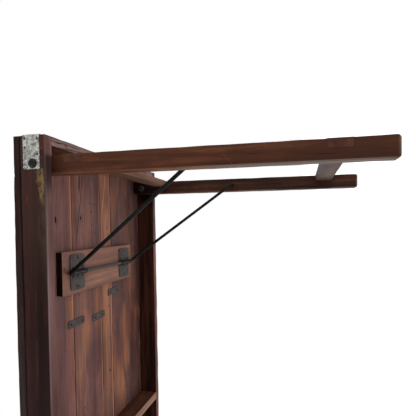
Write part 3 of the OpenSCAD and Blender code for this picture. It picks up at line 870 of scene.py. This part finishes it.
def spun(outline, steps):
    """Spins an outline of (radius, height) points about Z, and closes its poles."""
    bm = bmesh.new()
    chain = [bm.verts.new((radius, 0, height)) for radius, height in outline]
    for first, second in zip(chain, chain[1:]):
        bm.edges.new((first, second))
    bmesh.ops.spin(bm, geom=bm.verts[:] + bm.edges[:], cent=(0, 0, 0), axis=(0, 0, 1),
                   angle=math.tau, steps=steps, use_merge=True)
    bmesh.ops.remove_doubles(bm, verts=bm.verts, dist=1e-6)
    bmesh.ops.recalc_face_normals(bm, faces=bm.faces)
    for face in bm.faces:
        face.smooth = True
    return bm


def nail(head_r, length, reach):
    """A nail with its head's outer face at height 0 and its point at -length."""
    shank = 0.44 * head_r
    outline = [(0, -length), (shank, -length + 3 * shank), (shank, -reach), (head_r * 0.97, -reach),
               (head_r, -reach * 0.7), (head_r * 0.85, -reach * 0.22), (head_r * 0.45, -0.02 * mm), (0, 0)]
    return spun(outline, 16)


def verts_in(geometry):
    """The vertices in a list of mixed geometry."""
    return [g for g in geometry if isinstance(g, bmesh.types.BMVert)]


def screw(head_r, length, reach):
    """A round-headed screw, as for nail, with a slot sunk across its head."""
    shank = 0.5 * head_r
    outline = [(0, -length), (shank, -length + 4 * shank), (shank, -reach), (head_r * 0.98, -reach),
               (head_r, -reach * 0.8), (head_r * 0.88, -reach * 0.42), (head_r * 0.6, -reach * 0.15),
               (head_r * 0.3, -0.03 * mm), (0, 0)]
    bm = spun(outline, 20)
    half = 0.42 * mm
    for at in (-half, half):
        cut_through(bm, ALONG_Y, at)
    bm.normal_update()
    slot = [f for f in bm.faces if abs(f.calc_center_median().y) < half and f.normal.z > 0.25
            and f.calc_center_median().z > -reach]
    made = bmesh.ops.extrude_face_region(bm, geom=slot)["geom"]
    bmesh.ops.delete(bm, geom=slot, context="FACES_KEEP_BOUNDARY")
    bmesh.ops.translate(bm, vec=(0, 0, -reach * 0.5), verts=verts_in(made))
    bmesh.ops.recalc_face_normals(bm, faces=bm.faces)
    return bm


def join(whole, bm):
    """Adds a bmesh to another and frees it."""
    data = bpy.data.meshes.new("part")
    bm.to_mesh(data)
    bm.free()
    whole.from_mesh(data)
    bpy.data.meshes.remove(data)


def fixings(node, make, head_t, upward, material, body, slot, seed):
    """Puts a nail or screw at every place where the CAD node has one.

    head_t is how thick their heads are, and upward the way that upright ones face. The others
    face away from the table's middle."""
    turn = random.Random(seed)
    whole = bmesh.new()
    for low, high in solids_of(node):
        size = high - low
        along = max(range(3), key=lambda axis: size[axis])
        middle = (low + high) / 2
        sign = upward if along == ALONG_Z else math.copysign(1, middle[along])
        head_r = min(size[a] for a in range(3) if a != along) / 2
        bm = make(head_r, size[along], head_t)
        out = Vector((0, 0, 0))
        out[along] = sign
        at = middle.copy()
        at[along] = high[along] if sign > 0 else low[along]
        bmesh.ops.rotate(bm, cent=(0, 0, 0), verts=bm.verts,
                         matrix=Matrix.Rotation(turn.uniform(0, math.tau), 3, "Z"))
        bmesh.ops.rotate(bm, cent=(0, 0, 0), verts=bm.verts,
                         matrix=Vector((0, 0, 1)).rotation_difference(out).to_matrix())
        bmesh.ops.translate(bm, vec=at, verts=bm.verts)
        join(whole, bm)
    whole.normal_update()
    show(f"{node}_set", whole, [material], body, slot, node)


nail_steel = metal("nail_steel", (0.010, 0.007, 0.006), (0.026, 0.017, 0.014), (0.040, 0.013, 0.007),
                   rusty=0.8, rough=0.6, metallic=0.2, gloss=0.15)
screw_steel = metal("screw_steel", (0.005, 0.0042, 0.0038), (0.014, 0.012, 0.011), (0.020, 0.009, 0.006),
                    rusty=0.4, rough=0.5, metallic=0.1, gloss=0.1)
stopped_steel = metal("stopped_steel", (0.105, 0.048, 0.035), (0.170, 0.076, 0.052), (0.10, 0.04, 0.025),
                      rusty=0.2, rough=0.6, metallic=0.0, gloss=0.08)
fixings("top_nails", nail, 1.2 * mm, 1, nail_steel, "table", "nail_steel", 3)
fixings("frame_nails", nail, 0.6 * mm, 1, nail_steel, "table", "nail_steel", 4)
fixings("strap_nails", nail, 0.8 * mm, 1, nail_steel, "table", "nail_steel", 5)
fixings("mending_screws", screw, 1.2 * mm, -1, screw_steel, "table", "screw_steel", 6)
for end_name in "ab":
    fixings(f"stretcher_nails_{end_name}", nail, 0.6 * mm, 1, nail_steel, f"leg_frame_{end_name}",
            "nail_steel", 7)
    fixings(f"board_screws_{end_name}", screw, 1.2 * mm, -1, stopped_steel, "table", "screw_steel", 8)
    fixings(f"bearing_screws_{end_name}", screw, 1.2 * mm, -1, screw_steel, "table", "screw_steel", 9)


# --------------------
# The corner straps: galvanised sheet, cut with rounded corners, folded round
# the table's corner and nailed. The zinc is mottled, with dark flecks and
# specks of rust.
# --------------------
# Every sheet is thinner than SHEET_MOST, and every fold longer than FOLD_LEAST
SHEET_MOST = 2.6 * mm
FOLD_LEAST = 30 * mm


def round_sheet(node, corner, fold=0.0):
    """A flat or folded sheet from the CAD, with its corners rounded and its outer fold eased."""
    bm = merged_copy(node)
    low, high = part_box(node)
    tips, folds = [], []
    for edge in bm.edges:
        if edge.calc_face_angle(0) < math.radians(60) or not edge.is_convex:
            continue
        a, b = (v.co for v in edge.verts)
        at_corner = sum(min(abs(a[k] - low[k]), abs(a[k] - high[k])) < 0.05 * mm and
                        abs(a[k] - b[k]) < 0.05 * mm for k in range(3))
        if at_corner == 2 and edge.calc_length() < SHEET_MOST:
            tips.append(edge)
        elif fold and at_corner == 2 and abs(a.z - b.z) > FOLD_LEAST:
            folds.append(edge)
    if fold:
        outer = max(folds, key=lambda e: abs(e.verts[0].co.x) + abs(e.verts[0].co.y))
        round_over(bm, [outer], fold, 4)
    tips = [e for e in tips if e.is_valid]
    round_over(bm, tips, corner, 5)
    bm.normal_update()
    return bm


def ease_rims(bm, amount, limit=50):
    """Softens the outer rims of a piece that are sharper than limit, in degrees."""
    bm.normal_update()
    rims = [e for e in bm.edges if e.is_convex and e.calc_face_angle(0) > math.radians(limit)]
    round_over(bm, rims, amount, 2, clamp=True)
    smooth_curves(bm)
    return bm


def zinc_painter(place):
    """Mottled zinc with dark flecks and a few specks of rust."""
    spangle = noise_at(place, 115, 4, 0.72, 0.8)
    fleck = noise_at(place, 240, 3, 0.7)
    cloud = noise_at(place, 45, 3, 0.6)
    colour = blend_colour(rise(spangle, 0.36, 0.62), (0.085, 0.086, 0.076), (0.345, 0.350, 0.325))
    dark = rise(fleck + cloud * 0.5, 0.80, 0.90)
    colour = blend_colour(dark * 0.85, colour, (0.055, 0.048, 0.038))
    spot = noise_at(place, 140, 2, 0.5)
    rusted = rise(spot, 0.64, 0.70)
    colour = blend_colour(rusted * 0.85, colour, (0.060, 0.024, 0.012))
    roughness = spangle * 0.25 + (dark + rusted) * 0.2 + 0.38
    return colour, roughness, 0.25, fleck + spangle, 0.12 * mm, 0.4


zinc = finish_material("zinc_sheet", zinc_painter)
for end_name in "ab":
    for side_name in ("left", "right"):
        node = f"corner_strap_{end_name}_{side_name}"
        strap = ease_rims(round_sheet(node, 4 * mm, fold=2.2 * mm), 0.2 * mm)
        show(f"zinc_strap_{end_name}_{side_name}", strap, [zinc], "table", "zinc_sheet", node)


# --------------------
# The pivots: a blackened carriage bolt through each side rail and leg head.
# Its domed head lies on the corner strap with a square neck let in below it,
# and a plain washer and a hexagon nut hold it inside the leg.
# --------------------
BOLT_R = 4 * mm
BOLT_HEAD_R, BOLT_HEAD_H = 10 * mm, 5 * mm
NECK_W, NECK_H = 8 * mm, 4 * mm
THREADS = 16


def carriage_bolt(length, shank_r, head_r, head_h, neck_w, neck_h):
    """A domed bolt whose head's top is at height 0, with threads at its end."""
    pitch = 1.25 * mm
    rim = 0.3 * mm
    dome_steps = 7
    outline = [(0, -length), (shank_r - 0.9 * mm, -length)]
    for turn in range(THREADS):
        at = -length + 0.4 * mm + turn * pitch
        outline += [(shank_r - 0.55 * mm, at), (shank_r, at + pitch / 2)]
    outline += [(shank_r, -head_h), (head_r - rim, -head_h), (head_r, -head_h + rim)]
    for step in range(1, dome_steps):
        angle = step / dome_steps * math.pi / 2
        outline.append((head_r * math.cos(angle), -head_h * (1 - math.sin(angle)) + rim * math.cos(angle)))
    outline.append((0, 0))
    bm = spun(outline, 40)
    neck = bmesh.new()
    bmesh.ops.create_cube(neck, size=1)
    bmesh.ops.scale(neck, vec=(neck_w, neck_w, neck_h), verts=neck.verts)
    bmesh.ops.translate(neck, vec=(0, 0, -head_h - neck_h / 2 + 0.1 * mm), verts=neck.verts)
    join(bm, neck)
    return bm


bolt_steel = metal("bolt_steel", (0.0025, 0.0028, 0.003), (0.007, 0.0075, 0.008), (0.020, 0.014, 0.011),
                   rusty=0.1, rough=0.32, metallic=0.0, gloss=0.11)
nut_steel = metal("nut_steel", (0.020, 0.020, 0.019), (0.060, 0.060, 0.057), (0.045, 0.025, 0.016),
                  rusty=0.4, rough=0.45, metallic=0.6)
for end_name in "ab":
    for side_name, side in SIDES:
        node = f"pivot_bolt_{end_name}_{side_name}"
        low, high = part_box(node)
        bolt = carriage_bolt(high.y - low.y, BOLT_R, BOLT_HEAD_R, BOLT_HEAD_H, NECK_W, NECK_H)
        bmesh.ops.rotate(bolt, cent=(0, 0, 0), verts=bolt.verts,
                         matrix=Matrix.Rotation(math.radians(-90 * side), 3, "X"))
        middle = (low + high) / 2
        outside = high.y if side > 0 else low.y
        bmesh.ops.translate(bolt, vec=(middle.x, outside, middle.z), verts=bolt.verts)
        bolt.normal_update()
        show(f"carriage_bolt_{end_name}_{side_name}", bolt, [bolt_steel], "table", "bolt_steel", node)
    washers = ease_rims(merged_copy(f"pivot_washers_{end_name}"), 0.25 * mm)
    show(f"washers_{end_name}", washers, [nut_steel], "table", "bolt_steel", f"pivot_washers_{end_name}")
    nuts = ease_rims(merged_copy(f"pivot_nuts_{end_name}"), 0.7 * mm, limit=65)
    show(f"nuts_{end_name}", nuts, [nut_steel], "table", "bolt_steel", f"pivot_nuts_{end_name}")


# --------------------
# The strap bearings and mending plates: brown steel strip. Each bearing has a
# half-round channel pressed across it for the brace, and the mending plates
# are flat strips screwed across the dry joints.
# --------------------
def channel_crease(edge, top):
    """True for the two long inner corners where the channel leaves the strip."""
    a, b = (v.co for v in edge.verts)
    sharp = not edge.is_convex and edge.calc_face_angle(0) > math.radians(60)
    return sharp and abs(a.y - b.y) > 20 * mm and a.z < top - 1.5 * mm


strap_steel = metal("strap_steel", (0.0205, 0.0162, 0.0150), (0.048, 0.0388, 0.0362), (0.034, 0.021, 0.015),
                    rusty=0.25, rough=0.55, metallic=0.0, scale=0.5, gloss=0.14)
for end_name in "ab":
    for side_name in ("left", "right"):
        node = f"strap_bearing_{end_name}_{side_name}"
        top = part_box(node)[1].z
        bearing = round_sheet(node, 8 * mm)
        creases = [e for e in bearing.edges if channel_crease(e, top)]
        round_over(bearing, creases, 1.6 * mm, 4)
        ease_rims(bearing, 0.3 * mm)
        show(f"bearing_{end_name}_{side_name}", bearing, [strap_steel], "table", "strap_steel", node)
for index in (1, 2, 3):
    node = f"mending_plate_{index}"
    plate = ease_rims(round_sheet(node, 3.5 * mm), 0.3 * mm)
    show(f"mender_{index}", plate, [strap_steel], "table", "strap_steel", node)


# --------------------
# The braces: one length of black steel rod for each end, bent cold into a U
# whose ends hook outwards into the legs. The bar is rubbed where it turns in
# its bearings.
# --------------------
def edges_in(geometry):
    """The edges in a list of mixed geometry."""
    return [g for g in geometry if isinstance(g, bmesh.types.BMEdge)]


def bent_rod(path, radius, bend):
    """A round rod along straight runs, with a bend of mean radius bend at each inner point."""
    bm = bmesh.new()
    ring = bmesh.ops.create_circle(bm, radius=radius, segments=20)["verts"]
    heading = (path[1] - path[0]).normalized()
    bmesh.ops.rotate(bm, cent=(0, 0, 0), verts=ring,
                     matrix=Vector((0, 0, 1)).rotation_difference(heading).to_matrix())
    bmesh.ops.translate(bm, vec=path[0], verts=ring)
    front = bm.verts[:] + bm.edges[:]
    first_cap = bm.edges[:]
    at = Vector(path[0])
    for i in range(1, len(path)):
        heading = (path[i] - path[i - 1]).normalized()
        turn = 0.0
        if i < len(path) - 1:
            following = (path[i + 1] - path[i]).normalized()
            turn = heading.angle(following)
        setback = bend * math.tan(turn / 2)
        run = heading * ((path[i] - at).length - setback)
        made = bmesh.ops.extrude_edge_only(bm, edges=edges_in(front))["geom"]
        rim = dict.fromkeys(verts_in(made))
        bmesh.ops.translate(bm, vec=run, verts=list(rim))
        rim_edges = [e for v in rim for e in v.link_edges if e.other_vert(v) in rim]
        front = list(rim) + list(dict.fromkeys(rim_edges))
        at = at + run
        if turn:
            axis = heading.cross(following).normalized()
            centre = at + axis.cross(heading) * bend
            front = bmesh.ops.spin(bm, geom=front, cent=centre, axis=axis, angle=turn, steps=8)["geom_last"]
            at = path[i] + following * setback
    caps = [face for loop in (first_cap, edges_in(front))
            for face in bmesh.ops.edgeloop_fill(bm, edges=loop)["faces"]]
    rims = [e for face in caps for e in face.edges]
    round_over(bm, rims, 0.8 * mm, 2)
    bmesh.ops.recalc_face_normals(bm, faces=bm.faces)
    for face in bm.faces:
        face.smooth = len(face.verts) == 4
    return bm


ROD_R = 4.5 * mm
BEND_R = 6 * mm
# Half the bar's length, and how far from the middle the arms and the hooks' ends are
BAR_HALF = 166 * mm
ARM_Y = 229 * mm
HOOK_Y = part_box("brace_rod_a")[1].y
# x and z of the bar, and of the hooks
BAR_X, BAR_Z = 0.495, 0.723
HOOK_X = 0.741


def rod_painter(place):
    """Black steel, rubbed grey-brown along the bar and rusted in specks."""
    _, y, z = axes(place)
    patches = noise_at(place, 60, 4, 0.6)
    specks = noise_at(place, 420, 3, 0.6)
    colour = blend_colour(rise(patches, 0.35, 0.65), (0.0030, 0.0029, 0.0027), (0.0078, 0.0074, 0.0068))
    rubbed = rise(y.maths("ABSOLUTE", y), BAR_HALF + 2 * mm, BAR_HALF - 6 * mm)
    rubbed = rubbed * rise(z, BAR_Z - 11 * mm, BAR_Z - 3 * mm)
    colour = blend_colour(rubbed * (patches * 0.6 + 0.45), colour, (0.066, 0.056, 0.046))
    rusted = rise(specks + patches * 0.5, 0.90, 1.0)
    colour = blend_colour(rusted * 0.6, colour, (0.016, 0.009, 0.006))
    roughness = patches * 0.2 + rusted * 0.2 + 0.38
    return colour, roughness, 0.0, specks * 0.4 + patches, 0.12 * mm, 0.05


rod_steel = finish_material("rod_steel", rod_painter)
for end_name, end in ENDS:
    half = [Vector((HOOK_X * end, HOOK_Y, HOOK_Z)), Vector((HOOK_X * end, ARM_Y, HOOK_Z)),
            Vector((BAR_X * end, BAR_HALF, BAR_Z))]
    path = [Vector((at.x, -at.y, at.z)) for at in half] + half[::-1]
    rod = bent_rod(path, ROD_R, BEND_R)
    show(f"rod_{end_name}", rod, [rod_steel], f"brace_{end_name}", "rod_steel", f"brace_rod_{end_name}")
